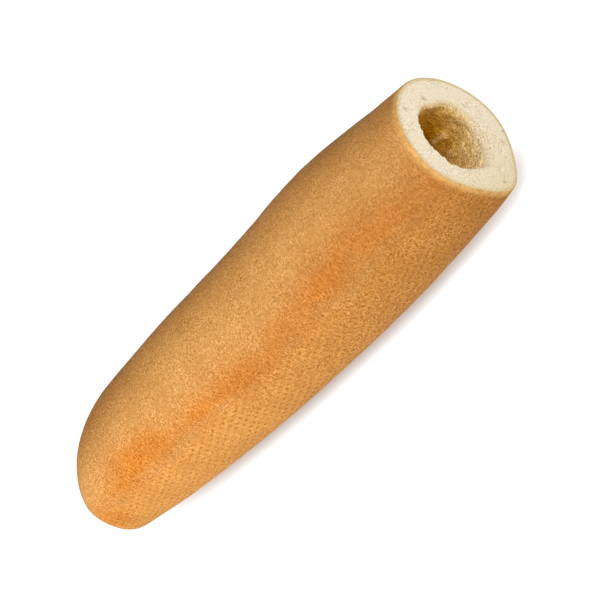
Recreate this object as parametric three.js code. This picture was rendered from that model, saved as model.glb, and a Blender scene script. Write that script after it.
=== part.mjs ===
// Hot dog roll: a long soft bread roll with one end cut off and a round hole pushed down its middle.
// Millimetres, +Z up, +X along the roll towards the cut end, -Y towards its front.
// Baked in a grooved tray, it has a domed back over two moulded flats that meet in a rounded keel.
// It lies on its rear flat, so the keel points down and forward.

import * as THREE from "three";
import { ParametricGeometry } from "three/addons/geometries/ParametricGeometry.js";

// Length and girth of the loaf
const TIP_X = -100;
const CUT_MIDDLE_X = 98.4; // where the cut crosses the loaf's axis
const BODY_RADIUS = 25.6;
const WIDEST_X = 3;
const CUT_DROP = 3.6; // the radius lost between the widest place and the cut
const SHOULDER_DROP = 2.4; // the radius lost between the widest place and SHOULDER_X
const SHOULDER_X = -60;
const SHOULDER_POWER = 2.1;

// The rise of the dough along the back, and of the whole loaf towards the cut
const HUMP_RISE = 3;
const HUMP_X = 52;
const HUMP_REACH = 31;
const CUT_RISE = 2.2;
const CUT_RISE_POWER = 2.9;

// The round end: long over the back, short at the keel, its tip low
const NOSE_BACK = 40.6;
const NOSE_KEEL = 8;
const NOSE_POWER = 2.45;
const NOSE_SAG = 5.4;

// The cross-section: a circle eased by two flats, in shares of the body radius
const FLAT_SHARE = 0.904;
const FLAT_TURN = THREE.MathUtils.degToRad(39); // from the keel to the middle of each flat
const CORNER_POWER = 6; // the higher, the sharper the corners beside the flats
const REST_DROP = 20.4; // from the loaf's axis down to the surface that it has settled on

// The cut leans a little, by these shares of the way keelward and frontward
const CUT_LEAN_KEEL = 0.056;
const CUT_LEAN_FRONT = 0.029;
const RIM_ROUND = 0.7;

// The hole, its axis off the loaf's axis
const HOLE_RADIUS = 11.3;
const HOLE_END_RADIUS = 9.8;
const HOLE_DEPTH = 150;
const HOLE_KEELWARD = -4.5;
const HOLE_FRONTWARD = 2.3;
const MOUTH_ROUND_FRONT = 0.4; // crisp where the tool went in, torn round on the other side
const MOUTH_ROUND_REAR = 2;

// Crumb lumps on the hole's wall: height, waves round the hole, wave length along it and where the wave starts
const CRUMB_WAVES = [
  { height: 0.25, round: 4, along: 29, start: 0.7 },
  { height: 0.2, round: -6, along: 17, start: 2.1 },
  { height: 0.16, round: 9, along: 11, start: 4.0 },
];

// Steps of the surface from the tip, over the crust and the cut, to the end of the hole
const STEPS_ROUND = 52;
const NOSE_STEPS = 14;
const BODY_STEPS = 25;
const RIM_STEPS = 2;
const CUT_STEPS = 4;
const MOUTH_STEPS = 3;
const HOLE_STEPS = 28;
const HOLE_CROWDING = 1.5; // over 1, the steps crowd towards the hole's mouth
const HOLE_END_STEPS = 5;

const CRUST_COLOUR = 0xd39a54;
const CRUST_ROUGHNESS = 0.85;

const KEEL = { y: -Math.sin(FLAT_TURN), z: -Math.cos(FLAT_TURN) };
const FRONT = { y: -Math.cos(FLAT_TURN), z: Math.sin(FLAT_TURN) };
const { lerp } = THREE.MathUtils;

// Sets a point from its place along the loaf, towards the keel and towards the front, no lower than the rest.
function setPoint(target, x, keelward, frontward) {
  const y = keelward * KEEL.y + frontward * FRONT.y;
  const z = keelward * KEEL.z + frontward * FRONT.z;
  target.set(x, y, Math.max(z, -REST_DROP));
}

// The share of the body radius at a turn from the keel
function sectionShare(turn) {
  const trim = (middle) => Math.max(0, Math.cos(turn - middle) / FLAT_SHARE) ** CORNER_POWER;
  return (1 + trim(FLAT_TURN) + trim(-FLAT_TURN)) ** (-1 / CORNER_POWER);
}

// How far a place lies past the widest part, from 0 there to 1 at the cut
function cutShare(x) {
  return Math.max(0, (x - WIDEST_X) / (CUT_MIDDLE_X - WIDEST_X));
}

function bodyRadius(x) {
  if (x > WIDEST_X) {
    return BODY_RADIUS - CUT_DROP * cutShare(x) ** 2;
  }
  return BODY_RADIUS - SHOULDER_DROP * ((x - WIDEST_X) / (SHOULDER_X - WIDEST_X)) ** SHOULDER_POWER;
}

function crustRadius(x, turn) {
  const backShare = Math.max(0, -Math.cos(turn));
  const hump = HUMP_RISE * backShare * Math.exp(-(((x - HUMP_X) / HUMP_REACH) ** 2));
  return bodyRadius(x) * sectionShare(turn) + hump;
}

// Sets a point at a radius about the middle of the loaf's section, which rises towards the cut.
function setCrustPoint(target, x, radius, turn, sag = 0) {
  const rise = CUT_RISE * cutShare(x) ** CUT_RISE_POWER;
  setPoint(target, x, radius * Math.cos(turn) + sag - rise, radius * Math.sin(turn));
}

function noseLength(turn) {
  const backShare = (1 - Math.cos(turn)) / 2;
  return lerp(NOSE_KEEL, NOSE_BACK, backShare);
}

// The round end, from the tip at 0 to the shoulder at 1
function nosePoint(share, turn, target) {
  const bow = Math.cos((share * Math.PI) / 2);
  const x = TIP_X + noseLength(turn) * (1 - bow);
  const fullness = Math.sqrt(1 - bow ** NOSE_POWER);
  setCrustPoint(target, x, crustRadius(x, turn) * fullness, turn, NOSE_SAG * (1 - fullness));
}

// Where the leaning cut lies along the loaf, at a place off the loaf's axis
function cutX(keelward, frontward) {
  return CUT_MIDDLE_X + CUT_LEAN_KEEL * keelward + CUT_LEAN_FRONT * frontward;
}

// Where the crust ends at the cut, at a turn from the keel
function crustEndX(turn) {
  const radius = crustRadius(CUT_MIDDLE_X, turn);
  return cutX(radius * Math.cos(turn) - CUT_RISE, radius * Math.sin(turn));
}

function bodyPoint(share, turn, target) {
  const x = lerp(TIP_X + noseLength(turn), crustEndX(turn) - RIM_ROUND, share);
  setCrustPoint(target, x, crustRadius(x, turn), turn);
}

function rimPoint(share, turn, target) {
  const bend = (share * Math.PI) / 2;
  const x = crustEndX(turn) - RIM_ROUND * (1 - Math.sin(bend));
  setCrustPoint(target, x, crustRadius(x, turn) - RIM_ROUND * (1 - Math.cos(bend)), turn);
}

function mouthRound(turn) {
  return lerp(MOUTH_ROUND_REAR, MOUTH_ROUND_FRONT, (1 + Math.sin(turn)) / 2);
}

function holeRadius(x, turn) {
  const depthShare = (CUT_MIDDLE_X - x) / HOLE_DEPTH;
  let radius = lerp(HOLE_RADIUS, HOLE_END_RADIUS, depthShare);
  for (const wave of CRUMB_WAVES) {
    radius += wave.height * Math.sin(wave.round * turn + (2 * Math.PI * x) / wave.along + wave.start);
  }
  return radius;
}

// A place at a radius about the hole's axis, off the loaf's axis
function offHole(radius, turn) {
  return [HOLE_KEELWARD + radius * Math.cos(turn), HOLE_FRONTWARD + radius * Math.sin(turn)];
}

// The flat cut, from inside the rim at 0 to the hole's mouth at 1
const rimEdge = new THREE.Vector3();
const mouthEdge = new THREE.Vector3();
function cutPoint(share, turn, target) {
  rimPoint(1, turn, rimEdge);
  mouthPoint(0, turn, mouthEdge);
  target.lerpVectors(rimEdge, mouthEdge, share);
}

function mouthPoint(share, turn, target) {
  const round = mouthRound(turn);
  const bend = (share * Math.PI) / 2;
  const radius = holeRadius(CUT_MIDDLE_X, turn) + round * (1 - Math.sin(bend));
  const [keelward, frontward] = offHole(radius, turn);
  setPoint(target, cutX(keelward, frontward) - round * (1 - Math.cos(bend)), keelward, frontward);
}

const HOLE_WALL_END_X = CUT_MIDDLE_X - HOLE_DEPTH + HOLE_END_RADIUS;
function holePoint(share, turn, target) {
  const mouthX = cutX(...offHole(HOLE_RADIUS, turn)) - mouthRound(turn);
  const x = lerp(mouthX, HOLE_WALL_END_X, share ** HOLE_CROWDING);
  setPoint(target, x, ...offHole(holeRadius(x, turn), turn));
}

function holeEndPoint(share, turn, target) {
  const bend = (share * Math.PI) / 2;
  const x = HOLE_WALL_END_X - HOLE_END_RADIUS * Math.sin(bend);
  setPoint(target, x, ...offHole(holeRadius(HOLE_WALL_END_X, turn) * Math.cos(bend), turn));
}

const ZONES = [
  { steps: NOSE_STEPS, place: nosePoint },
  { steps: BODY_STEPS, place: bodyPoint },
  { steps: RIM_STEPS, place: rimPoint },
  { steps: CUT_STEPS, place: cutPoint },
  { steps: MOUTH_STEPS, place: mouthPoint },
  { steps: HOLE_STEPS, place: holePoint },
  { steps: HOLE_END_STEPS, place: holeEndPoint },
];
const STEPS_ALONG = ZONES.reduce((sum, zone) => sum + zone.steps, 0);

// One closed skin: crust, cut and hole wall follow one another from the tip to the hole's end.
function rollPoint(round, along, target) {
  const turn = -2 * Math.PI * round; // this way round, the faces point outwards
  let step = along * STEPS_ALONG;
  for (const zone of ZONES) {
    if (step <= zone.steps) {
      zone.place(step / zone.steps, turn, target);
      return;
    }
    step -= zone.steps;
  }
  holeEndPoint(1, turn, target);
}

function makeRoll() {
  const geometry = new ParametricGeometry(rollPoint, STEPS_ROUND, STEPS_ALONG);
  const material = new THREE.MeshStandardMaterial({
    color: CRUST_COLOUR,
    roughness: CRUST_ROUGHNESS,
    metalness: 0,
  });
  const roll = new THREE.Mesh(geometry, material);
  roll.name = "roll";
  return roll;
}

// The origin is under the middle of the loaf, on the surface that it rests on.
function standOnOrigin(mesh) {
  mesh.geometry.computeBoundingBox();
  const { min, max } = mesh.geometry.boundingBox;
  mesh.position.set(-(min.x + max.x) / 2, -(min.y + max.y) / 2, -min.z);
}

const roll = makeRoll();
standOnOrigin(roll);

const hotDogRoll = new THREE.Group();
hotDogRoll.add(roll);

export default hotDogRoll;
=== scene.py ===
# Looks of the hot dog roll: golden crust with tray marks, pale cut crumb and a torn hole.
import math

import bmesh
import bpy
import numpy as np
from mathutils import Matrix, Vector, noise


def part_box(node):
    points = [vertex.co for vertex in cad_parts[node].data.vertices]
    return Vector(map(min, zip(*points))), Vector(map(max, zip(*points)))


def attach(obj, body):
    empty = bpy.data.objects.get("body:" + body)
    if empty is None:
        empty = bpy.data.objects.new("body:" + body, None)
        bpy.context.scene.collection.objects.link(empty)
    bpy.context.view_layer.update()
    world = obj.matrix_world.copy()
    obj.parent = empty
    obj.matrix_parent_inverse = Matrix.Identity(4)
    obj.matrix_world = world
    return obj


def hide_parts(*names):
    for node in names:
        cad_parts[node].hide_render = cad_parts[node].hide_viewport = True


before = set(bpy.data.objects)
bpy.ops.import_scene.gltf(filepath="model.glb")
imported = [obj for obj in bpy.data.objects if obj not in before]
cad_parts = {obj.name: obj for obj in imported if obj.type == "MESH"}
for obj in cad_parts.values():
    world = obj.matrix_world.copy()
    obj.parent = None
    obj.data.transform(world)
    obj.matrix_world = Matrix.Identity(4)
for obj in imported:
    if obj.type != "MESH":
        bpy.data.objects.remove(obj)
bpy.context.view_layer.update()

MM = 0.001
ROLL_NODE = "roll"

# The loaf's own frame, in millimetres: along its axis, towards its keel and towards its front
FLAT_TURN = math.radians(39)  # from the keel to the middle of each tray flat
KEEL = Vector((0, -math.sin(FLAT_TURN), -math.cos(FLAT_TURN)))
FRONT = Vector((0, -math.cos(FLAT_TURN), math.sin(FLAT_TURN)))
TIP_X = -100
REST_DROP = 20.4  # from the loaf's axis down to the surface that it rests on
AXIS_Y = -2.36  # where the axis lies across the row frame
LOAF_MIDDLE = Vector((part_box(ROLL_NODE)[0].x / MM - TIP_X, AXIS_Y, REST_DROP))

# Girth, back and round end of the loaf, as in the solid
CUT_MIDDLE_X = 98.4  # where the cut crosses the loaf's axis
BODY_RADIUS = 25.6
WIDEST_X = 3
CUT_DROP = 3.6  # the radius lost between the widest place and the cut
SHOULDER_DROP = 2.4  # the radius lost between the widest place and SHOULDER_X
SHOULDER_X = -60
SHOULDER_POWER = 2.1
HUMP_RISE = 3
HUMP_X = 52
HUMP_REACH = 31
CUT_RISE = 2.2  # how far the loaf's middle moves off its keel by the cut
CUT_RISE_POWER = 2.9
NOSE_BACK = 40.6
NOSE_KEEL = 8
NOSE_POWER = 2.45
NOSE_SAG = 5.4
FLAT_SHARE = 0.904
CORNER_POWER = 6

# The cut and the hole, as in the solid
CUT_LEAN_KEEL = 0.056
CUT_LEAN_FRONT = 0.029
RIM_ROUND = 0.7
HOLE_RADIUS = 11.3
HOLE_END_RADIUS = 9.8
HOLE_DEPTH = 150
HOLE_KEELWARD = -4.5
HOLE_FRONTWARD = 2.3
MOUTH_ROUND_FRONT = 0.4
MOUTH_ROUND_REAR = 2
HOLE_WALL_END_X = CUT_MIDDLE_X - HOLE_DEPTH + HOLE_END_RADIUS
CRUMB_WAVES = (  # height, waves round the hole, wave length along it and where the wave starts
    (0.25, 4, 29, 0.7),
    (0.2, -6, 17, 2.1),
    (0.16, 9, 11, 4.0),
)

# The low lip of the mouth, torn further round than in the solid
MOUTH_TEAR = 1.2
MOUTH_TEAR_TURN = math.radians(334)
MOUTH_TEAR_POWER = 4  # the higher, the narrower the tear

# Steps of the drawn skin
AROUND = 80  # points in each ring
HOLE_CROWDING = 1.8  # over 1, the rings crowd towards the hole's mouth
GIRTH_STEPS = 361  # places at which the girth is measured

# Dimples from the perforated tray, on the flats at both sides of the keel
MARK_PITCH = 2.75
MARK_ROW = MARK_PITCH * math.sqrt(3)
MARK_SLANT = math.radians(6)
MARK_RADIUS = 0.6
MARK_SLOPE = (0.2 * MARK_RADIUS, 1.4 * MARK_RADIUS)  # from a dimple's floor to its lip
MARK_DEPTH = 0.16
MARK_WANDER = 0.5  # about how far the pattern strays from straight rows
MARK_WANDER_FINE = 0.35  # the share of the finer noise in that
MARKED_TURN = math.radians(70)
MARKED_FADE = math.radians(6)
MARKED_NOSE_X = (TIP_X + 3, TIP_X + 10)  # where the marks set in on the round end
MARKS_FADE_X = (-20, 70)
FAINT_MARKS = 0.85
LIGHT_PRESSURE = 0.6
PRESSURE_SPAN = (-0.5, 0.4)  # of its noise, from light to full pressure

# Lumps and hollows of the hole's wall: place along the loaf, degrees round the hole, radius and height
HOLE_LUMPS = (
    (88.2, 258, 1.5, 0.7),
    (85.2, 255, 1.1, 0.3),
    (90.9, 291, 1.2, 0.7),
    (86.5, 285, 1.1, 0.5),
    (97.6, 58, 0.9, 0.6),
    (94.4, 285, 1.8, 0.3),
    (94.6, 337, 2.0, 0.6),
)
HOLE_HOLLOWS = (  # with a depth for the height
    (87.0, 274, 1.3, 0.5),
    (85.6, 263, 1.2, 0.3),
)
DEEPEST_HOLLOW = max(depth for *place, depth in HOLE_HOLLOWS)
BROKEN_LUMP = 0.55  # what is left of a lump where it has crumbled
BROKEN_SPAN = (-0.35, 0.3)  # of its noise, from crumbled to whole

# Open pores of the cut: places keelward and frontward, and radius
CUT_PORES = (
    (-19.2, 9, 0.9),
    (-17.8, -1.5, 0.8),
    (14.4, 0.5, 0.8),
    (-9, -13.5, 0.6),
    (6, -14, 0.7),
)
PORE_DEPTH = 0.5

# Noises over the surface: size of the features in millimetres, and seed
NOISE_SHIFT = (17.3, 5.1, 9.7)  # how far each seed moves the noise
MARKED_EDGE_NOISE = (9, 1)
PRESSURE_NOISE = (6, 13)
WANDER_ALONG_NOISES = ((8, 11), (3, 15))
WANDER_ACROSS_NOISES = ((8, 12), (3, 16))
BROKEN_NOISE = (1.1, 21)
BAND_NOISE = (16, 2)
BAND_WIDTH_NOISE = (11, 5)
BLOTCH_NOISES = ((12, 3), (4, 4))


def mix(a, b, share):
    return a + (b - a) * share


def smooth_step(low, high, value):
    share = np.clip((value - low) / (high - low), 0, 1)
    return share * share * (3 - 2 * share)


def in_frame(x, keelward, frontward):
    """A place in the row frame, in metres, from millimetres in the loaf's own frame."""
    place = LOAF_MIDDLE + Vector((x, 0, 0)) + KEEL * keelward + FRONT * frontward
    place.z = max(place.z, 0)
    return place * MM


def section_share(turn):
    """The share of the body radius at a turn from the keel: a circle eased by the two tray flats."""
    total = 1
    for middle in (FLAT_TURN, -FLAT_TURN):
        total += max(0, math.cos(turn - middle) / FLAT_SHARE) ** CORNER_POWER
    return total ** (-1 / CORNER_POWER)


def cut_share(x):
    """How far a place lies past the widest part, from 0 there to 1 at the cut."""
    return max(0, (x - WIDEST_X) / (CUT_MIDDLE_X - WIDEST_X))


def body_radius(x):
    if x > WIDEST_X:
        return BODY_RADIUS - CUT_DROP * cut_share(x) ** 2
    return BODY_RADIUS - SHOULDER_DROP * ((x - WIDEST_X) / (SHOULDER_X - WIDEST_X)) ** SHOULDER_POWER


def crust_radius(x, turn):
    hump = HUMP_RISE * max(0, -math.cos(turn)) * math.exp(-(((x - HUMP_X) / HUMP_REACH) ** 2))
    return body_radius(x) * section_share(turn) + hump


def off_crust(x, radius, turn, sag=0):
    """A place at a radius about the middle of the loaf's section, which rises towards the cut."""
    rise = CUT_RISE * cut_share(x) ** CUT_RISE_POWER
    return x, radius * math.cos(turn) + sag - rise, radius * math.sin(turn)


def nose_length(turn):
    return mix(NOSE_KEEL, NOSE_BACK, (1 - math.cos(turn)) / 2)


def nose_point(share, turn):
    bow = math.cos(share * math.pi / 2)
    x = TIP_X + nose_length(turn) * (1 - bow)
    fullness = math.sqrt(1 - bow ** NOSE_POWER)
    return off_crust(x, crust_radius(x, turn) * fullness, turn, NOSE_SAG * (1 - fullness))


def cut_x(keelward, frontward):
    """Where the leaning cut lies along the loaf, at a place off the loaf's axis."""
    return CUT_MIDDLE_X + CUT_LEAN_KEEL * keelward + CUT_LEAN_FRONT * frontward


def crust_end_x(turn):
    radius = crust_radius(CUT_MIDDLE_X, turn)
    return cut_x(radius * math.cos(turn) - CUT_RISE, radius * math.sin(turn))


def body_point(share, turn):
    x = mix(TIP_X + nose_length(turn), crust_end_x(turn) - RIM_ROUND, share)
    return off_crust(x, crust_radius(x, turn), turn)


def rim_point(share, turn):
    bend = share * math.pi / 2
    x = crust_end_x(turn) - RIM_ROUND * (1 - math.sin(bend))
    return off_crust(x, crust_radius(x, turn) - RIM_ROUND * (1 - math.cos(bend)), turn)


def mouth_round(turn):
    torn = MOUTH_TEAR * max(0, math.cos(turn - MOUTH_TEAR_TURN)) ** MOUTH_TEAR_POWER
    return mix(MOUTH_ROUND_REAR, MOUTH_ROUND_FRONT, (1 + math.sin(turn)) / 2) + torn


def hole_radius(x, turn):
    radius = mix(HOLE_RADIUS, HOLE_END_RADIUS, (CUT_MIDDLE_X - x) / HOLE_DEPTH)
    for height, waves, length, start in CRUMB_WAVES:
        radius += height * math.sin(waves * turn + 2 * math.pi * x / length + start)
    return radius


def off_hole(radius, turn):
    """A place at a radius about the hole's axis, keelward and frontward of the loaf's axis."""
    return HOLE_KEELWARD + radius * math.cos(turn), HOLE_FRONTWARD + radius * math.sin(turn)


def mouth_point(share, turn):
    bend = share * math.pi / 2
    edge = mouth_round(turn)
    place = off_hole(hole_radius(CUT_MIDDLE_X, turn) + edge * (1 - math.sin(bend)), turn)
    return cut_x(*place) - edge * (1 - math.cos(bend)), *place


def cut_point(share, turn):
    return tuple(mix(a, b, share) for a, b in zip(rim_point(1, turn), mouth_point(0, turn)))


def hole_point(share, turn):
    mouth_x = cut_x(*off_hole(HOLE_RADIUS, turn)) - mouth_round(turn)
    x = mix(mouth_x, HOLE_WALL_END_X, share ** HOLE_CROWDING)
    return x, *off_hole(hole_radius(x, turn), turn)


def hole_end_point(share, turn):
    bend = share * math.pi / 2
    x = HOLE_WALL_END_X - HOLE_END_RADIUS * math.sin(bend)
    return x, *off_hole(hole_radius(HOLE_WALL_END_X, turn) * math.cos(bend), turn)


# Stretches of the skin from the tip to the end of the hole, each with its number of rings
STRETCHES = (
    (nose_point, 18),
    (body_point, 84),
    (rim_point, 3),
    (cut_point, 10),
    (mouth_point, 5),
    (hole_point, 46),
    (hole_end_point, 6),
)
RIM, CUT, MOUTH, HOLE = range(2, 6)  # where four of them start, counted in stretches

# Where each kind of relief starts and stops along the skin, counted in stretches
CRUST_STOP = (RIM - 0.02, RIM)
FACE_START = (RIM + 0.5, CUT + 0.15)
FACE_STOP = (MOUTH, HOLE)
RAGS_START = (MOUTH, MOUTH + 0.6)
RAGS_STOP = (HOLE, HOLE + 0.1)
RAGGED_FRONT = (0.35, 0.75)  # the front shares between which the mouth turns ragged
LUMPY_START = MOUTH + 0.3
LUMPY_REAR = HOLE + 0.2
LUMPY_FRONT = HOLE + 0.08
LOW_WALL = (0, 6)  # keelward of this, the hole's wall turns lumpy further in
LOW_WALL_DELAY = 0.15

# Relief by clouds: size of the features, strength, where it lies and the level that stays put
CLOUDS = {
    "crust_swell": (26, 0.5, "crust", 0.5),
    "crust_dimples": (7, 0.22, "crust", 0.5),
    "face_crumb": (1.6, 0.25, "face", 0.6),
    "mouth_rags": (1.1, 1.1, "mouth", 0.5),
    "hole_lumps": (4.2, 1.6, "hole", 0.5),
    "hole_crags": (1.4, 0.9, "hole", 0.5),
}


def place_ring(mesh, place, share, along):
    """Sets the selected ring on the loaf's form and notes how far along the skin it lies."""
    skin = bmesh.from_edit_mesh(mesh)
    turn_of = skin.verts.layers.float["turn"]
    along_of = skin.verts.layers.float["along"]
    for vertex in skin.verts:
        if vertex.select:
            vertex.co = in_frame(*place(share, vertex[turn_of]))
            vertex[along_of] = along
    bmesh.update_edit_mesh(mesh)


def close_ring(mesh, place, share, along):
    """Draws the selected ring together into one closing point."""
    bpy.ops.mesh.extrude_region()
    bpy.ops.mesh.merge(type="CENTER")
    place_ring(mesh, place, share, along)


def note_turns(mesh):
    """Gives the first ring its turns from the keel, which every extruded ring inherits."""
    skin = bmesh.from_edit_mesh(mesh)
    skin.verts.layers.float.new("turn")
    skin.verts.layers.float.new("along")
    skin.verts.ensure_lookup_table()
    turn_of = skin.verts.layers.float["turn"]
    for step in range(AROUND):
        skin.verts[step][turn_of] = 2 * math.pi * step / AROUND
    bmesh.update_edit_mesh(mesh)


def select_first_ring(mesh, end):
    """Selects the ring nearest the tip, which lies before an end along the skin."""
    bpy.ops.mesh.select_all(action="DESELECT")
    skin = bmesh.from_edit_mesh(mesh)
    along_of = skin.verts.layers.float["along"]
    for vertex in skin.verts:
        vertex.select = vertex[along_of] < end
    skin.select_flush(True)
    bmesh.update_edit_mesh(mesh)


def draw_skin():
    """Extrudes the skin ring by ring, from the tip over the crust and the cut into the hole."""
    bpy.ops.object.select_all(action="DESELECT")
    bpy.ops.mesh.primitive_circle_add(vertices=AROUND, radius=BODY_RADIUS * MM)
    roll = bpy.context.object
    roll.name = "roll_bread"
    mesh = roll.data
    rings = []
    for stretch, (place, count) in enumerate(STRETCHES):
        rings += [(place, step / count, stretch + step / count) for step in range(1, count + 1)]
    bpy.ops.object.mode_set(mode="EDIT")
    bpy.ops.mesh.select_mode(type="VERT")
    bpy.ops.mesh.select_all(action="SELECT")
    note_turns(mesh)
    place_ring(mesh, *rings[0])
    for ring in rings[1:-1]:
        bpy.ops.mesh.extrude_region()
        place_ring(mesh, *ring)
    close_ring(mesh, *rings[-1])
    select_first_ring(mesh, (rings[0][2] + rings[1][2]) / 2)
    close_ring(mesh, nose_point, 0, 0)
    bpy.ops.mesh.select_all(action="SELECT")
    bpy.ops.mesh.normals_make_consistent(inside=False)
    bpy.ops.object.mode_set(mode="OBJECT")
    return roll


def apply_modifier(piece, name, kind, **settings):
    modifier = piece.modifiers.new(name, kind)
    for key, value in settings.items():
        setattr(modifier, key, value)
    bpy.context.view_layer.objects.active = piece
    bpy.ops.object.modifier_apply(modifier=name)


def read_vectors(items, what):
    values = np.zeros(len(items) * 3, np.float32)
    items.foreach_get(what, values)
    return values.reshape(-1, 3).astype(float)


def read_attribute(mesh, name):
    values = np.zeros(len(mesh.vertices), np.float32)
    mesh.attributes[name].data.foreach_get("value", values)
    return values.astype(float)


def write_attributes(mesh, **shares):
    """Stores numbers at the mesh's points, by name, for the material to read."""
    for name, values in shares.items():
        layer = mesh.attributes.new(name, "FLOAT", "POINT")
        layer.data.foreach_set("value", values.astype(np.float32))


def loaf_places(points):
    """Millimetres along the loaf, keelward and frontward, for points in metres."""
    off = points / MM - np.array(LOAF_MIDDLE)
    return off[:, 0], off @ np.array(KEEL), off @ np.array(FRONT)


def loaf_turns(keelward, frontward):
    """The turn from the keel to either side, from 0 to half a turn."""
    return np.abs(np.arctan2(frontward, keelward))


def hole_turns(keelward, frontward):
    """The turn about the hole's axis, from its low side."""
    return np.arctan2(frontward - HOLE_FRONTWARD, keelward - HOLE_KEELWARD)


def front_share(keelward, frontward):
    """How far a place round the hole lies to the front, from 0 at its rear to 1."""
    return (1 + np.sin(hole_turns(keelward, frontward))) / 2


def noise_at(points, size, seed):
    """Smooth noise from about -1 to 1 with features of a size in millimetres."""
    shift = Vector([seed * step for step in NOISE_SHIFT])
    return np.array([noise.noise(Vector(point) / (size * MM) + shift) for point in points])


def layered_noise(points, broad, fine, fine_share):
    return noise_at(points, *broad) + fine_share * noise_at(points, *fine)


def girth_from_keel(turn):
    """Millimetres round the widest section, from the keel to a turn."""
    turns = np.linspace(0, math.pi, GIRTH_STEPS)
    radii = BODY_RADIUS * np.array([section_share(value) for value in turns])
    steps = np.hypot(np.diff(radii), radii[1:] * np.diff(turns))
    return np.interp(turn, turns, np.concatenate(([0], np.cumsum(steps))))


def marked_share(turn, x, points):
    """How strongly the tray has marked the crust, from 0 to 1."""
    edge = MARKED_TURN + MARKED_FADE * noise_at(points, *MARKED_EDGE_NOISE)
    side = 1 - smooth_step(edge - MARKED_FADE, edge + MARKED_FADE, turn)
    return side * smooth_step(*MARKED_NOSE_X, x)


def mark_distance(along, across):
    """Millimetres to the nearest dimple of the tray's staggered pattern."""
    nearest = np.full(len(along), MARK_PITCH)
    for shift in (0, 0.5):
        along_gap = (along / MARK_ROW + shift) % 1 - 0.5
        across_gap = (across / MARK_PITCH + shift) % 1 - 0.5
        nearest = np.minimum(nearest, np.hypot(along_gap * MARK_ROW, across_gap * MARK_PITCH))
    return nearest


def refine_flats(roll):
    """Splits the faces that carry tray dimples, so that the dimples can be pressed in."""
    mesh = roll.data
    keelward, frontward = loaf_places(read_vectors(mesh.polygons, "center"))[1:]
    along = read_attribute(mesh, "along")
    corners = np.zeros(len(mesh.loops), np.int32)
    mesh.loops.foreach_get("vertex_index", corners)
    first = np.zeros(len(mesh.polygons), np.int32)
    mesh.polygons.foreach_get("loop_start", first)
    crust = along[corners[first]] < RIM
    marked = crust & (loaf_turns(keelward, frontward) < MARKED_TURN + MARKED_FADE)
    bpy.ops.object.mode_set(mode="EDIT")
    bpy.ops.mesh.select_mode(type="FACE")
    bpy.ops.mesh.select_all(action="DESELECT")
    bpy.ops.object.mode_set(mode="OBJECT")
    mesh.polygons.foreach_set("select", marked)
    bpy.ops.object.mode_set(mode="EDIT")
    bpy.ops.mesh.subdivide(number_cuts=1)
    bpy.ops.object.mode_set(mode="OBJECT")


def move_points(mesh, points):
    """Sets the mesh's points, none below the surface that the roll rests on."""
    points[:, 2] = np.maximum(points[:, 2], 0)
    mesh.vertices.foreach_set("co", points.astype(np.float32).ravel())
    mesh.update()


def press_marks(roll):
    """Presses the tray's dimples into the flats and keeps the pattern's place for the material."""
    mesh = roll.data
    points = read_vectors(mesh.vertices, "co")
    normals = read_vectors(mesh.vertices, "normal")
    x, keelward, frontward = loaf_places(points)
    turn = loaf_turns(keelward, frontward)
    girth = girth_from_keel(turn)
    along_wander = MARK_WANDER * layered_noise(points, *WANDER_ALONG_NOISES, MARK_WANDER_FINE)
    across_wander = MARK_WANDER * layered_noise(points, *WANDER_ACROSS_NOISES, MARK_WANDER_FINE)
    along = x * math.cos(MARK_SLANT) - girth * math.sin(MARK_SLANT) + along_wander
    across = x * math.sin(MARK_SLANT) + girth * math.cos(MARK_SLANT) + across_wander
    on_crust = read_attribute(mesh, "along") < RIM
    marked = marked_share(turn, x, points) * on_crust
    pit = 1 - smooth_step(*MARK_SLOPE, mark_distance(along, across))
    pressure = mix(LIGHT_PRESSURE, 1, smooth_step(*PRESSURE_SPAN, noise_at(points, *PRESSURE_NOISE)))
    pressed = marked * pressure * mix(1, FAINT_MARKS, smooth_step(*MARKS_FADE_X, x))
    move_points(mesh, points - normals * (pit * pressed * MARK_DEPTH * MM)[:, None])
    write_attributes(
        mesh, marked=marked, pressed=pressed,
        mark_along=along, mark_across=across, loaf_along=x, loaf_girth=girth,
    )


def wall_patch(x, turn, middle_x, degrees, radius):
    """A soft round patch of the hole's wall, from 1 at its middle to 0."""
    gap = (turn - math.radians(degrees) + math.pi) % (2 * math.pi) - math.pi
    return np.exp(-((np.hypot(x - middle_x, HOLE_RADIUS * gap) / radius) ** 2))


def shape_crumb(roll):
    """Raises lumps and sinks hollows in the hole's wall, and opens the larger pores of the cut."""
    mesh = roll.data
    points = read_vectors(mesh.vertices, "co")
    normals = read_vectors(mesh.vertices, "normal")
    x, keelward, frontward = loaf_places(points)
    along = read_attribute(mesh, "along")
    turn = hole_turns(keelward, frontward)
    in_hole = along > MOUTH
    on_cut = (along > CUT) & (along < MOUTH)
    broken = mix(BROKEN_LUMP, 1, smooth_step(*BROKEN_SPAN, noise_at(points, *BROKEN_NOISE)))
    lump, hollow, pore, lift = np.zeros((4, len(points)))
    for *place, height in HOLE_LUMPS:
        share = wall_patch(x, turn, *place) * in_hole * broken
        lump = np.maximum(lump, share)
        lift += height * share
    for *place, depth in HOLE_HOLLOWS:
        share = wall_patch(x, turn, *place) * in_hole
        hollow = np.maximum(hollow, share * depth / DEEPEST_HOLLOW)
        lift -= depth * share
    for pore_keelward, pore_frontward, radius in CUT_PORES:
        away = np.hypot(keelward - pore_keelward, frontward - pore_frontward)
        pore = np.maximum(pore, np.exp(-((away / radius) ** 2)) * on_cut)
    lift -= PORE_DEPTH * pore
    move_points(mesh, points + normals * (lift * MM)[:, None])
    # The material darkens the hollows and pores with painted shade and lightens the lumps with painted
    # light
    write_attributes(mesh, lump=lump, hollow=hollow, pore=pore)


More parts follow.
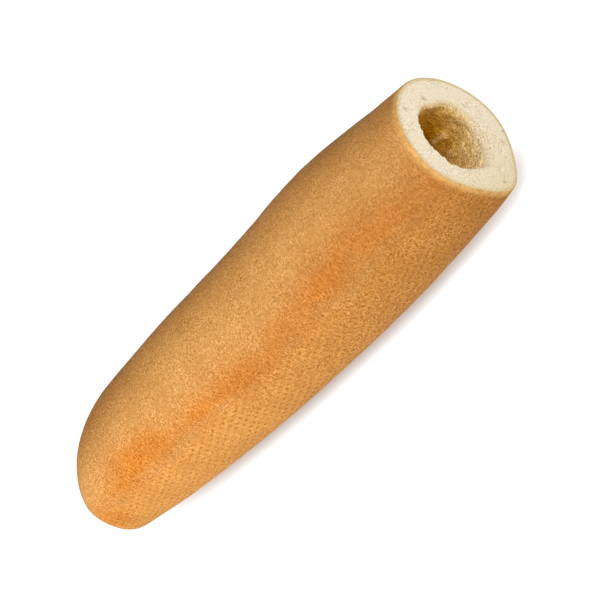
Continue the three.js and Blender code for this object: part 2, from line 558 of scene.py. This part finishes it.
def weight_group(piece, name, weights):
    group = piece.vertex_groups.new(name=name)
    for index in np.nonzero(weights > 0)[0]:
        group.add([int(index)], float(weights[index]), "REPLACE")


def roughen(piece, name, size, strength, group, level):
    """Displaces a weighted area by clouds with features of a size in millimetres."""
    texture = bpy.data.textures.new(name, "CLOUDS")
    texture.noise_scale = size * MM
    apply_modifier(
        piece, name, "DISPLACE", texture=texture, texture_coords="LOCAL",
        strength=strength * MM, mid_level=level, vertex_group=group,
    )


def roughen_roll(roll):
    """Gives the crust its swells and dimples, the cut its crumb and the hole its torn wall."""
    mesh = roll.data
    along = read_attribute(mesh, "along")
    keelward, frontward = loaf_places(read_vectors(mesh.vertices, "co"))[1:]
    front = front_share(keelward, frontward)
    low = smooth_step(*LOW_WALL, keelward)
    lumpy_from = mix(LUMPY_START, HOLE, low)
    lumpy_to = mix(LUMPY_REAR, LUMPY_FRONT, front) + LOW_WALL_DELAY * low
    on_face = smooth_step(*FACE_START, along) * (1 - smooth_step(*FACE_STOP, along))
    at_mouth = smooth_step(*RAGS_START, along) * (1 - smooth_step(*RAGS_STOP, along))
    weight_group(roll, "crust", 1 - smooth_step(*CRUST_STOP, along))
    weight_group(roll, "face", on_face)
    weight_group(roll, "mouth", at_mouth * smooth_step(*RAGGED_FRONT, front))
    weight_group(roll, "hole", smooth_step(lumpy_from, lumpy_to, along))
    for name, cloud in CLOUDS.items():
        roughen(roll, name, *cloud)
    move_points(mesh, read_vectors(mesh.vertices, "co"))


# Where the crust is toasted: a wavering band beside each flat, and patches on the round end
BAND_TURN = math.radians(83)
BAND_SWAY = math.radians(3)
BAND_SWAY_LENGTH = 90
BAND_SWAY_START = 30
BAND_WAVER = math.radians(5)
BAND_WIDTH = math.radians(12)
BAND_WIDTH_WAVER = 0.3
BAND_RISE = math.radians(5)
BAND_WIDENING = math.radians(6)
BAND_RISE_X = (30, 60)  # where the band rises and widens
BAND_NOSE_X = (-84, -30)  # where the band fades out on the round end
BAND_CUT_X = (50, 85)  # where it fades towards the cut
BAND_TOAST = 0.82
BAND_CUT_TOAST = 0.6
TOAST_PATCHES = (  # middle and reach, along the loaf and round it, and strength
    (-54, math.radians(94), 11, math.radians(12), 1.0),
    (-67, math.radians(80), 13, math.radians(13), 0.7),
    (-88, math.radians(58), 7, math.radians(22), 1.25),
)
BLOTCH_SPAN = (-0.6, 0.6)  # of their noise, from between blotches to within one
BLOTCH_FINE = 0.6  # the share of the finer noise in the blotches
BLOTCH_LEAST = 0.65  # what is left of the toast between blotches

# Where the crust is darker, partly by browning and partly by painted shade: towards the cut, most on the
# lower side, and over the back
BROWN_AND_SHADE_START_X = -25
BROWN_AND_SHADE_END_X = 100
SIDE_BROWN_AND_SHADE = 0.55
DOME_BROWN_AND_SHADE = 0.25
KEEL_BROWN_AND_SHADE = 0.32
LOW_TURN = math.radians(45)
DOME_TURN = math.radians(112)
BACK_BROWN_AND_SHADE = 0.75
BACK_TURN = math.radians(112)
RIDGE_TURN = math.radians(172)
NOSE_BACK_TURN = math.radians(98)
NOSE_RIDGE_TURN = math.radians(152)
NOSE_BROWN_AND_SHADE_X = (-70, -25)  # from the browning and painted shade of the round end to that of the back
TIP_CLEAR = (2, 15)  # how far off the axis the browning and painted shade of the back sets in
BROWN_AND_SHADE_PATCHES = (  # middle and reach, along the loaf and round it, and strength
    (72, math.radians(103), 38, math.radians(9), 0.35),
    (86, math.radians(16), 18, math.radians(14), 0.38),
)

# The crust's edge at the cut; places along the skin are counted in stretches
EDGE_FADE = (0.1, 2.8)  # millimetres from the cut, where the paler edge fades
CRUMB_START = (RIM + 0.3, CUT + 0.05)
CRUST_LINE_STOP = (CUT + 0.03, CUT + 0.13)
FRONT_CRUST_LINE = 0.4  # how strong the line is on the front side

# How far the hole's colours reach out over the cut, in millimetres
REAR_FADE = 1.8
ROOF_FADE = 3  # how much further at the roof
LEAST_ROOFWARD = -0.35  # limits how much less far at the low side
CUT_WIDTH = 10  # from the rim to the mouth, about


def patch_share(x, turn, middle_x, middle_turn, reach, spread):
    """A soft patch of the crust, from 1 at its middle to 0."""
    return np.exp(-(((x - middle_x) / reach) ** 2) - ((turn - middle_turn) / spread) ** 2)


def toast_share(points, x, turn):
    """How far the crust is toasted, from 0 to 1."""
    sway = BAND_SWAY * np.sin(2 * math.pi * (x - BAND_SWAY_START) / BAND_SWAY_LENGTH)
    rise = smooth_step(*BAND_RISE_X, x)
    middle = BAND_TURN + sway + BAND_RISE * rise + BAND_WAVER * noise_at(points, *BAND_NOISE)
    uneven = 1 + BAND_WIDTH_WAVER * noise_at(points, *BAND_WIDTH_NOISE)
    width = (BAND_WIDTH + BAND_WIDENING * rise) * uneven
    band = np.exp(-(((turn - middle) / width) ** 2)) * smooth_step(*BAND_NOSE_X, x)
    toast = band * mix(BAND_TOAST, BAND_CUT_TOAST, smooth_step(*BAND_CUT_X, x))
    for *patch, strength in TOAST_PATCHES:
        toast += strength * patch_share(x, turn, *patch)
    blotch = smooth_step(*BLOTCH_SPAN, layered_noise(points, *BLOTCH_NOISES, BLOTCH_FINE))
    return np.clip(toast * mix(BLOTCH_LEAST, 1, blotch), 0, 1)


def brown_share(x, turn, off_axis):
    """How far the crust is darkened by browning and painted shade, from 0 to about 1."""
    towards_cut = np.clip((x - BROWN_AND_SHADE_START_X) / (BROWN_AND_SHADE_END_X - BROWN_AND_SHADE_START_X), 0, 1)
    dome = smooth_step(BAND_TURN, DOME_TURN, turn)
    keel_side = 1 - smooth_step(LOW_TURN, BAND_TURN, turn)
    low_brown = towards_cut * (mix(SIDE_BROWN_AND_SHADE, DOME_BROWN_AND_SHADE, dome) + KEEL_BROWN_AND_SHADE * keel_side)
    for *patch, strength in BROWN_AND_SHADE_PATCHES:
        low_brown += strength * patch_share(x, turn, *patch)
    on_nose = 1 - smooth_step(*NOSE_BROWN_AND_SHADE_X, x)
    back_from = mix(BACK_TURN, NOSE_BACK_TURN, on_nose)
    back_to = mix(RIDGE_TURN, NOSE_RIDGE_TURN, on_nose)
    back_brown = smooth_step(back_from, back_to, turn) * mix(BACK_BROWN_AND_SHADE, 1, on_nose)
    return np.maximum(low_brown, back_brown * smooth_step(*TIP_CLEAR, off_axis))


def depth_in_hole(along, from_cut, keelward, frontward):
    """Millimetres into the hole, as its colours count them; on the cut they are below 0."""
    into_hole = np.where(along > MOUTH, np.maximum(from_cut, 0), (along - MOUTH) * CUT_WIDTH)
    roofward = -np.cos(hole_turns(keelward, frontward)) * smooth_step(MOUTH, HOLE, along)
    fade = REAR_FADE + ROOF_FADE * np.maximum(roofward, LEAST_ROOFWARD)
    return into_hole + (1 - front_share(keelward, frontward)) * fade


def mark_colours(roll):
    """Stores where the crust is toasted, how far it is darkened by browning and painted shade, and how far
    the crumb shows.
    """
    mesh = roll.data
    points = read_vectors(mesh.vertices, "co")
    x, keelward, frontward = loaf_places(points)
    along = read_attribute(mesh, "along")
    turn = loaf_turns(keelward, frontward)
    from_cut = cut_x(keelward, frontward) - x
    crust_line = 1 - smooth_step(*CRUST_LINE_STOP, along)
    write_attributes(
        mesh,
        toast=toast_share(points, x, turn),
        brown=brown_share(x, turn, np.hypot(keelward, frontward)),
        edge=np.where(along < CUT, 1 - smooth_step(*EDGE_FADE, from_cut), 1),
        crumb=smooth_step(*CRUMB_START, along),
        crust_line=crust_line * mix(1, FRONT_CRUST_LINE, front_share(keelward, frontward)),
        hole_depth=depth_in_hole(along, from_cut, keelward, frontward),
        keelward=keelward,
    )


# Sockets of a Mix node for numbers and for colours: first, second and result
MIX_NUMBERS = (2, 3, 0)
MIX_COLOURS = (6, 7, 2)

NOISE_MIDDLE = 0.5
RED_KEPT = 0.4  # the share of the warmth that keeps red from darkening
DOT_CORE = 0.4  # the share of a dot's radius at full strength
DOT_PICK = 0.15  # how softly places with and without a dot are told apart


def node(tree, kind, settings=None, **inputs):
    """Adds a node with its settings, and its inputs by name: a value or another node's output."""
    made = tree.nodes.new(kind)
    for key, value in (settings or {}).items():
        setattr(made, key, value)
    for key, value in inputs.items():
        join(tree, made.inputs[key], value)
    return made


def join(tree, socket, value):
    if isinstance(value, bpy.types.NodeSocket):
        tree.links.new(value, socket)
    else:
        socket.default_value = value


def calc(tree, operation, first, second):
    made = node(tree, "ShaderNodeMath", {"operation": operation})
    join(tree, made.inputs[0], first)
    join(tree, made.inputs[1], second)
    return made.outputs[0]


def times(tree, *factors):
    """The product of numbers and outputs."""
    product = factors[0]
    for factor in factors[1:]:
        product = calc(tree, "MULTIPLY", product, factor)
    return product


def plus(tree, *parts):
    """The sum of numbers and outputs."""
    result = parts[0]
    for part in parts[1:]:
        result = calc(tree, "ADD", result, part)
    return result


def vector_calc(tree, operation, *vectors):
    made = node(tree, "ShaderNodeVectorMath", {"operation": operation})
    for socket, vector in zip(made.inputs, vectors):
        join(tree, socket, vector)
    return made


def ease(tree, value, low, high, start=0.0, end=1.0):
    """A number that goes smoothly from start to end while a value goes from low to high."""
    made = node(tree, "ShaderNodeMapRange", {"interpolation_type": "SMOOTHSTEP"}, Value=value)
    for name, number in (("From Min", low), ("From Max", high), ("To Min", start), ("To Max", end)):
        made.inputs[name].default_value = number
    return made.outputs["Result"]


def shade(tree, share, tone):
    """A tone that is 1 where a share is 0, and the given tone where it is 1."""
    return ease(tree, share, 0, 1, 1.0, tone)


def swing(tree, share, wave, span):
    """A tone about 1 that follows a noise, as strongly as a share says."""
    return calc(tree, "ADD", 1.0, times(tree, share, ease(tree, wave, *span)))


def blend(tree, share, first, second, kind="MIX"):
    """A colour between two others, or with another kind of blend."""
    made = node(tree, "ShaderNodeMix", {"data_type": "RGBA", "blend_type": kind}, Factor=share)
    first_socket, second_socket, result = MIX_COLOURS
    for socket, colour in ((first_socket, first), (second_socket, second)):
        given = isinstance(colour, bpy.types.NodeSocket)
        join(tree, made.inputs[socket], colour if given else (*colour, 1))
    return made.outputs[result]


def blend_numbers(tree, share, first, second):
    made = node(tree, "ShaderNodeMix", Factor=share)
    first_socket, second_socket, result = MIX_NUMBERS
    join(tree, made.inputs[first_socket], first)
    join(tree, made.inputs[second_socket], second)
    return made.outputs[result]


def tint(tree, colour, tone, warmth):
    """A colour times a tone, which is 1 where the colour stays; with warmth, darker is redder."""
    red = calc(tree, "POWER", tone, 1 - RED_KEPT * warmth)
    blue = calc(tree, "POWER", tone, 1 + warmth)
    tones = node(tree, "ShaderNodeCombineXYZ", X=red, Y=tone, Z=blue)
    return blend(tree, 1.0, colour, tones.outputs[0], "MULTIPLY")


def relief(tree, wave, reach):
    """Height in millimetres, level on average, of a noise from 0 to 1."""
    return times(tree, calc(tree, "SUBTRACT", wave, NOISE_MIDDLE), reach)


def grain(tree, where, size, detail, rough=0.55):
    """Noise from 0 to 1 with features of a size in millimetres."""
    scale = 1 / (size * MM)
    made = node(tree, "ShaderNodeTexNoise", Vector=where, Scale=scale, Detail=detail, Roughness=rough)
    return made.outputs[0]


def dots(tree, where, spacing, radius, bare):
    """Round dots at scattered places, in millimetres; the higher bare is, the more places have none."""
    made = node(tree, "ShaderNodeTexVoronoi", Vector=where, Scale=1 / (spacing * MM))
    dot = ease(tree, made.outputs["Distance"], radius / spacing, DOT_CORE * radius / spacing)
    return times(tree, dot, ease(tree, made.outputs["Color"], bare, bare + DOT_PICK))


def attribute(tree, name):
    return node(tree, "ShaderNodeAttribute", {"attribute_name": name}).outputs["Fac"]


# Colours of the bread, as linear shares of light
CRUST_TAN = (0.53, 0.255, 0.070)
CRUST_TOAST = (0.535, 0.174, 0.018)
CRUST_TRAY = (0.606, 0.266, 0.055)
CRUST_BROWN_AND_SHADE = (0.69, 0.62, 0.50)  # what browning and painted shade leave of each colour
CRUST_EDGE = (0.72, 0.41, 0.13)
CRUST_LINE = (0.66, 0.51, 0.26)
CRUMB_PALE = (0.86, 0.745, 0.555)
CRUMB_LOW = (0.79, 0.66, 0.43)
CRUMB_TAN = (0.80, 0.54, 0.20)
# the low side's tan, paler and lighter than the roof side's, partly by painted light
CRUMB_TAN_LOW = (0.88, 0.645, 0.30)
# the hole's toasted wall, darker deep in partly by painted shade
CRUMB_DEEP = (0.66, 0.31, 0.004)
CRUST_WARMTH = 0.75
CRUMB_WARMTH = 0.4
CRUST_ROUGHNESS = 0.68
CRUMB_ROUGHNESS = 0.95
BREAD_GLOSS = 0.1

# Grain of the bread: size of its features in millimetres, detail and roughness
SKIN_GRAIN = (0.6, 2.0, 0.65)
LEATHER_GRAIN = (1.5, 2.0)
ROUGH_GRAIN = (6, 2.0)
BROAD_GRAIN = (12, 3.0)
EDGE_GRAIN = (3, 1.0)
FINE_GRAIN = (0.5, 2.0, 0.6)
CLUMP_GRAIN = (0.75, 2.0, 0.6)
PATCH_GRAIN = (5, 1.0)
WRINKLES_ALONG = 1.6  # to the millimetre
WRINKLES_ROUND = 0.5

# Scattered dots: spacing and radius in millimetres, and how many places stay bare, from 0 to 1
PITS = (3.2, 0.32, 0.4)
PINHOLES = (6.5, 0.45, 0.45)
FINE_PORES = (2.2, 0.4, 0.55)

# Tones of the crust: the range of a noise and the tones or changes of tone over it, or the tone of a mark
SKIN_TONE = (0.335, 0.665, -0.33, 0.29)
LEATHER_TONE = (0.3, 0.7, 0.95, 1.05)
BROAD_TONE = (0.3, 0.7, 0.94, 1.06)
WRINKLE_TONE = (0.35, 0.65, -0.17, 0.15)
# the tones of pits, pinholes and dimples are painted shade in those recesses
PIT_SHADE_TONE = 0.78
PINHOLE_SHADE_TONE = 0.45
DIMPLE_SHADE_TONE = 0.6
RIDGE_TONE = 1.07

# Relief of the crust, in millimetres
SKIN_RELIEF = 0.5
LEATHER_RELIEF = 0.35
WRINKLE_RELIEF = 0.45
PIT_DEPTH = 0.12
PINHOLE_DEPTH = 0.25
DIMPLE_DEPTH = 0.18

# How strongly the crust's details show: the range of a noise or along the loaf, and the strength over it
ROUGH_PATCHES = (0.36, 0.62, 0.65, 1.1)
ROUGH_ALONG = (20, 75, 1.03, 0.75)
MARKS_CALM = (-30, 60, 0.3, -0.45)  # among the tray marks: calmer at the round end, livelier at the cut
UNEVEN_PRESS = (0.3, 0.6, 0.5, 1.0)
UNEVEN_EDGE = (0.35, 0.65, 0.6, 0.95)
LEAST_WRINKLED = 0.3  # where the crust isn't toasted
MARK_SHADE = (1.2 * MARK_RADIUS, 0.2 * MARK_RADIUS)  # a dimple's darkening by painted shade, from its rim inwards
MARK_RIDGE = (1.1 * MARK_RADIUS, 2.1 * MARK_RADIUS)  # the paler crust between dimples


def dimple_distance(tree):
    """Millimetres to the nearest dimple of the tray's staggered pattern, from its stored place."""
    along = attribute(tree, "mark_along")
    across = attribute(tree, "mark_across")
    place = node(tree, "ShaderNodeCombineXYZ", X=along, Y=across).outputs[0]
    half = Vector((MARK_ROW / 2, MARK_PITCH / 2, 1))
    gaps = []
    for shift in (Vector((0, 0, 0)), Vector((MARK_ROW / 2, MARK_PITCH / 2, 0))):
        moved = vector_calc(tree, "ADD", place, shift)
        wrapped = vector_calc(tree, "WRAP", moved.outputs[0], half, -half)
        gaps.append(vector_calc(tree, "LENGTH", wrapped.outputs[0]).outputs["Value"])
    return calc(tree, "MINIMUM", *gaps)


def tray_marks(tree, leather):
    """The shares of a pressed dimple, darkened by painted shade, and of the paler crust between dimples."""
    pressed = times(tree, attribute(tree, "pressed"), ease(tree, leather, *UNEVEN_PRESS))
    distance = dimple_distance(tree)
    dimple = times(tree, ease(tree, distance, *MARK_SHADE), pressed)
    ridge = times(tree, ease(tree, distance, *MARK_RIDGE), pressed)
    return dimple, ridge


def grain_strength(tree, where, marked, loaf_along):
    """How strongly the skin's grain shows, from place to place."""
    patches = ease(tree, grain(tree, where, *ROUGH_GRAIN), *ROUGH_PATCHES)
    along = ease(tree, loaf_along, *ROUGH_ALONG)
    calm = times(tree, marked, ease(tree, loaf_along, *MARKS_CALM))
    return times(tree, patches, along, calc(tree, "SUBTRACT", 1.0, calm))


def wrinkle_noise(tree, loaf_along):
    """Noise from 0 to 1 that is drawn out round the loaf."""
    along = times(tree, loaf_along, WRINKLES_ALONG)
    around = times(tree, attribute(tree, "loaf_girth"), WRINKLES_ROUND)
    place = node(tree, "ShaderNodeCombineXYZ", X=along, Y=around).outputs[0]
    return node(tree, "ShaderNodeTexNoise", Vector=place, Scale=1.0, Detail=1.0).outputs[0]


def crust_finish(tree, where):
    """Colour and height of the crust: tan and toasted, darkened by browning and painted shade, with grain,
    and with pinholes, pits and tray dimples darkened by painted shade.
    """
    marked = attribute(tree, "marked")
    toast = attribute(tree, "toast")
    loaf_along = attribute(tree, "loaf_along")
    skin = grain(tree, where, *SKIN_GRAIN)
    leather = grain(tree, where, *LEATHER_GRAIN)
    broad = grain(tree, where, *BROAD_GRAIN)
    wrinkle = wrinkle_noise(tree, loaf_along)
    wrinkled = calc(tree, "ADD", LEAST_WRINKLED, times(tree, toast, 1 - LEAST_WRINKLED))
    dimple, ridge = tray_marks(tree, leather)
    pit = dots(tree, where, *PITS)
    pinhole = dots(tree, where, *PINHOLES)

    colour = blend(tree, marked, CRUST_TAN, CRUST_TRAY)
    colour = blend(tree, toast, colour, CRUST_TOAST)
    # Browning and painted shade: darker towards the cut, on the lower side and over the back
    browned = blend(tree, 1.0, colour, CRUST_BROWN_AND_SHADE, "MULTIPLY")
    colour = blend(tree, attribute(tree, "brown"), colour, browned)
    tone = times(
        tree,
        swing(tree, grain_strength(tree, where, marked, loaf_along), skin, SKIN_TONE),
        ease(tree, leather, *LEATHER_TONE),
        ease(tree, broad, *BROAD_TONE),
        # Painted shade in the pits, pinholes and tray dimples
        shade(tree, pit, PIT_SHADE_TONE),
        shade(tree, pinhole, PINHOLE_SHADE_TONE),
        shade(tree, dimple, DIMPLE_SHADE_TONE),
        shade(tree, ridge, RIDGE_TONE),
        swing(tree, wrinkled, wrinkle, WRINKLE_TONE),
    )
    height = plus(
        tree,
        relief(tree, skin, SKIN_RELIEF),
        relief(tree, leather, LEATHER_RELIEF),
        times(tree, pit, -PIT_DEPTH),
        times(tree, pinhole, -PINHOLE_DEPTH),
        times(tree, dimple, -DIMPLE_DEPTH),
        times(tree, wrinkled, relief(tree, wrinkle, WRINKLE_RELIEF)),
    )
    return tint(tree, colour, tone, CRUST_WARMTH), height


# Where the crumb's colours change keelward, in millimetres off the loaf's axis, and between which strengths
LOW_CRUMB = (-5, 22)
LOW_TAN = (-3, 7)
TAN_REACH = (-7, 0, 1.0, 0.75)
# the toasted deep colour and its painted shade are weaker on the low side, which the light reaches
DEEP_REACH = (-7, 1, 1.0, 0.45)
# painted shade deep in the hole: how far keelward it reaches
DEEP_SHADE_REACH = (-2.5, 1.5, 1.0, 0.0)
ROOF_REACH = (-7.6, -9.6)

# Where they change with the depth in the hole, in the same way
TAN_DEPTH = (-0.2, 4.6)
DEEP_DEPTH = (4.0, 13.5, 0.0, 0.85)
# painted shade on the roof of the hole: its depths and strength
ROOF_SHADE_DEPTH = (2.5, 8.0)
ROOF_SHADE_STRENGTH = 0.65
# painted shade on the roof just inside the mouth: where it starts and stops
LIP_SHADE_START = (0.5, 3.0)
LIP_SHADE_STOP = (5.0, 10.0, 1.0, 0.0)
# painted shade deep in the hole: where it sets in
DEEP_SHADE_DEPTH = (5.5, 10.5)
TORN_START = (0.3, 4.5)
TORN_STOP = (9.0, 17.0, 1.0, 0.6)
TORN_ROOF = 0.5
RAGGED_DEPTH = (0.3, 0.7, -0.5, 0.5)  # how far the fine grain moves the colours in and out

# Lumps and hollows: from which share of one its colour sets in, and how strongly
LUMP_SHARES = (0.1, 0.6)
LUMP_STRENGTH = 0.75
# how the painted shade deep in the hole fades out over lumps
LUMP_DEEP_SHADE = (0, 0.6, 1.0, 0.0)
HOLLOW_SHARES = (0.0, 0.8)

# Tones and relief of the crumb
CRUMB_PATCHES = (0.38, 0.62, 0.45, 1.0)
SPECKLE_TONE = (0.33, 0.64, -0.27, 0.13)
CLUMP_TONE = (0.35, 0.65, -0.25, 0.22)
SPECK_TONE = (0.33, 0.67, -0.16, 0.16)
# painted shade in the fine pores and the open pores of the cut
FINE_PORE_SHADE_TONE = 0.84
OPEN_PORE_SHADE_TONE = 0.72
# painted shade on the roof just inside the mouth
LIP_SHADE_TONE = 0.87
# painted shade deep in the hole
DEEP_SHADE_TONE = 0.92
# painted light on the lumps
LUMP_LIGHT_TONE = 1.3
# painted shade in the hollows
HOLLOW_SHADE_TONE = 0.62
FINE_RELIEF = 0.16
FINE_PORE_DEPTH = 0.15
CLUMP_RELIEF = (0.2, 2.0, 0.1, 0.5)  # millimetres, by the depth in the hole


def crumb_finish(tree, where):
    """Colour and height of the crumb: cream with fine pores at the cut, tan, then browner down the hole,
    partly by toast and partly by painted shade.
    """
    depth = attribute(tree, "hole_depth")
    keelward = attribute(tree, "keelward")
    lump = attribute(tree, "lump")
    fine = grain(tree, where, *FINE_GRAIN)
    clump = grain(tree, where, *CLUMP_GRAIN)
    pores = dots(tree, where, *FINE_PORES)
    ragged = calc(tree, "ADD", depth, ease(tree, fine, *RAGGED_DEPTH))
    roof_side = ease(tree, keelward, *ROOF_REACH)
    # Where the roof of the hole takes painted shade
    roof_shade = times(tree, roof_side, ease(tree, ragged, *ROOF_SHADE_DEPTH))

    colour = blend(tree, ease(tree, keelward, *LOW_CRUMB), CRUMB_PALE, CRUMB_LOW)
    colour = blend(tree, attribute(tree, "crust_line"), colour, CRUST_LINE)
    tan = blend(tree, ease(tree, keelward, *LOW_TAN), CRUMB_TAN, CRUMB_TAN_LOW)
    tanned = times(tree, ragged, ease(tree, keelward, *TAN_REACH))
    colour = blend(tree, ease(tree, tanned, *TAN_DEPTH), colour, tan)
    # Deeper in, darker: partly toast and partly painted shade, less of it on the low side, which the light
    # reaches
    deep = times(tree, ease(tree, ragged, *DEEP_DEPTH), ease(tree, keelward, *DEEP_REACH))
    colour = blend(tree, deep, colour, CRUMB_DEEP)
    # Painted shade on the roof of the hole
    colour = blend(tree, times(tree, roof_shade, ROOF_SHADE_STRENGTH), colour, CRUMB_DEEP)
    colour = blend(tree, ease(tree, lump, *LUMP_SHARES, 0.0, LUMP_STRENGTH), colour, CRUMB_TAN)

    torn = times(tree, ease(tree, depth, *TORN_START), ease(tree, depth, *TORN_STOP))
    torn = times(tree, torn, shade(tree, roof_shade, TORN_ROOF))
    # Painted shade on the roof just inside the mouth
    lip_shade = times(tree, roof_side, ease(tree, depth, *LIP_SHADE_START), ease(tree, depth, *LIP_SHADE_STOP))
    patchy = ease(tree, grain(tree, where, *PATCH_GRAIN), *CRUMB_PATCHES)
    # Painted shade deep in the hole, away from its low side, its roof and its lumps
    deep_shade = times(
        tree,
        ease(tree, depth, *DEEP_SHADE_DEPTH),
        ease(tree, keelward, *DEEP_SHADE_REACH),
        shade(tree, roof_shade, 0.0),
        ease(tree, lump, *LUMP_DEEP_SHADE),
    )
    tone = times(
        tree,
        swing(tree, patchy, fine, SPECKLE_TONE),
        swing(tree, torn, clump, CLUMP_TONE),
        swing(tree, torn, fine, SPECK_TONE),
        # Painted shade in the fine pores and the open pores of the cut
        shade(tree, pores, FINE_PORE_SHADE_TONE),
        shade(tree, attribute(tree, "pore"), OPEN_PORE_SHADE_TONE),
        # Painted shade on the roof just inside the mouth
        shade(tree, lip_shade, LIP_SHADE_TONE),
        # Painted shade deep in the hole
        shade(tree, deep_shade, DEEP_SHADE_TONE),
        # Painted light on the lumps
        ease(tree, lump, *LUMP_SHARES, 1.0, LUMP_LIGHT_TONE),
        # Painted shade in the hollows
        ease(tree, attribute(tree, "hollow"), *HOLLOW_SHARES, 1.0, HOLLOW_SHADE_TONE),
    )
    height = plus(
        tree,
        relief(tree, fine, FINE_RELIEF),
        times(tree, pores, -FINE_PORE_DEPTH),
        relief(tree, clump, ease(tree, depth, *CLUMP_RELIEF)),
    )
    return tint(tree, colour, tone, CRUMB_WARMTH), height


def bread_material():
    """Crust and crumb in one material, told apart by how far the crumb shows."""
    material = bpy.data.materials.new("bread")
    material.use_nodes = True
    tree = material.node_tree
    shader = tree.nodes["Principled BSDF"]
    where = node(tree, "ShaderNodeTexCoord").outputs["Object"]
    crumb = attribute(tree, "crumb")
    crust_colour, crust_height = crust_finish(tree, where)
    crumb_colour, crumb_height = crumb_finish(tree, where)
    uneven = ease(tree, grain(tree, where, *EDGE_GRAIN), *UNEVEN_EDGE)
    edge = times(tree, attribute(tree, "edge"), uneven)
    crust_colour = blend(tree, edge, crust_colour, CRUST_EDGE)
    height = blend_numbers(tree, crumb, crust_height, crumb_height)
    bump = node(tree, "ShaderNodeBump", Strength=1.0, Distance=MM, Height=height)
    join(tree, shader.inputs["Base Color"], blend(tree, crumb, crust_colour, crumb_colour))
    join(tree, shader.inputs["Normal"], bump.outputs[0])
    join(tree, shader.inputs["Roughness"], ease(tree, crumb, 0, 1, CRUST_ROUGHNESS, CRUMB_ROUGHNESS))
    shader.inputs["Specular IOR Level"].default_value = BREAD_GLOSS
    return material


# Camera and studio: places in millimetres from the loaf's middle, powers in watts
CAMERA_DISTANCE = 800
CAMERA_TURN = math.radians(39.8)  # from the loaf's front towards the cut
AIM_X = 16.77
AIM_KEELWARD = -0.83
PICTURE_TILT = math.radians(43.44)
LENS = 159.76
KEY_X = -210
KEY_FRONTWARD = 500
KEY_KEELWARD = -45
KEY_SIZE = 350
KEY_POWER = 3.28
CUT_LIGHT_PLACE = (520, -153, 510)
CUT_LIGHT_SIZE = 350
CUT_LIGHT_POWER = 2.8
SKY_LIGHT = 0.25
WHITE = (1, 1, 1)
FLOOR_SIZE = 8  # metres
FLOOR_WHITE = 0.1
FLOOR_ROUGHNESS = 0.9
FLOOR_GLOW = 1.0
FLOOR_SHADE = (0.42, 0.33, 0.28)  # the glow left where the roll covers the floor
FLOOR_SHADE_REACH = 4.2
FLOOR_SHADE_SAMPLES = 16


def add_camera():
    """Sets the camera at the photograph's viewing angle."""
    towards = Vector((math.sin(CAMERA_TURN), 0, 0)) + FRONT * math.cos(CAMERA_TURN)
    place = LOAF_MIDDLE + towards * CAMERA_DISTANCE
    aim = LOAF_MIDDLE + Vector((AIM_X, 0, 0)) + KEEL * AIM_KEELWARD
    back = (place - aim).normalized()
    along = Vector((1, 0, 0))
    along = (along - back * along.dot(back)).normalized()
    across = along.cross(back)
    right = along * math.cos(PICTURE_TILT) + across * math.sin(PICTURE_TILT)
    up = back.cross(right)
    data = bpy.data.cameras.new("camera")
    data.lens = LENS
    camera = bpy.data.objects.new("camera", data)
    bpy.context.scene.collection.objects.link(camera)
    turned = Matrix((right, up, back)).transposed().to_4x4()
    camera.matrix_world = Matrix.Translation(place * MM) @ turned
    bpy.context.scene.camera = camera


def add_area_light(name, place, size, power):
    """A round soft light that faces the loaf's middle."""
    data = bpy.data.lights.new(name, "AREA")
    data.shape = "DISK"
    data.size = size * MM
    data.energy = power
    light = bpy.data.objects.new(name, data)
    bpy.context.scene.collection.objects.link(light)
    light.location = place * MM
    light.rotation_euler = (place - LOAF_MIDDLE).to_track_quat("Z", "Y").to_euler()


def add_studio():
    """A soft key light from the front, one towards the cut, and a pale sky."""
    key_off = Vector((KEY_X, 0, 0)) + FRONT * KEY_FRONTWARD + KEEL * KEY_KEELWARD
    add_area_light("key", LOAF_MIDDLE + key_off, KEY_SIZE, KEY_POWER)
    add_area_light("cut_light", LOAF_MIDDLE + Vector(CUT_LIGHT_PLACE), CUT_LIGHT_SIZE, CUT_LIGHT_POWER)
    world = bpy.data.worlds.new("studio")
    world.use_nodes = True
    sky = world.node_tree.nodes["Background"]
    sky.inputs["Color"].default_value = (*WHITE, 1)
    sky.inputs["Strength"].default_value = SKY_LIGHT
    bpy.context.scene.world = world
    bpy.context.scene.view_settings.view_transform = "Standard"


def add_floor():
    """A plain white floor that glows, less so where the roll lies close above it."""
    bpy.ops.object.select_all(action="DESELECT")
    bpy.ops.mesh.primitive_plane_add(size=FLOOR_SIZE)
    floor = bpy.context.object
    floor.name = "floor"
    material = bpy.data.materials.new("floor_white")
    material.use_nodes = True
    tree = material.node_tree
    shader = tree.nodes["Principled BSDF"]
    shader.inputs["Base Color"].default_value = (FLOOR_WHITE, FLOOR_WHITE, FLOOR_WHITE, 1)
    shader.inputs["Roughness"].default_value = FLOOR_ROUGHNESS
    samples = {"samples": FLOOR_SHADE_SAMPLES}
    cover = node(tree, "ShaderNodeAmbientOcclusion", samples, Distance=FLOOR_SHADE_REACH * MM)
    join(tree, shader.inputs["Emission Color"], blend(tree, cover.outputs["AO"], FLOOR_SHADE, WHITE))
    shader.inputs["Emission Strength"].default_value = FLOOR_GLOW
    floor.data.materials.append(material)


roll = draw_skin()
apply_modifier(roll, "even", "SUBSURF", levels=1, render_levels=1)
refine_flats(roll)
press_marks(roll)
shape_crumb(roll)
roughen_roll(roll)
mark_colours(roll)
roll.data.materials.append(bread_material())
bpy.context.view_layer.objects.active = roll
roll.select_set(True)
bpy.ops.object.shade_smooth()

add_camera()
add_studio()
add_floor()

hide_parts(ROLL_NODE)
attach(roll, "root")
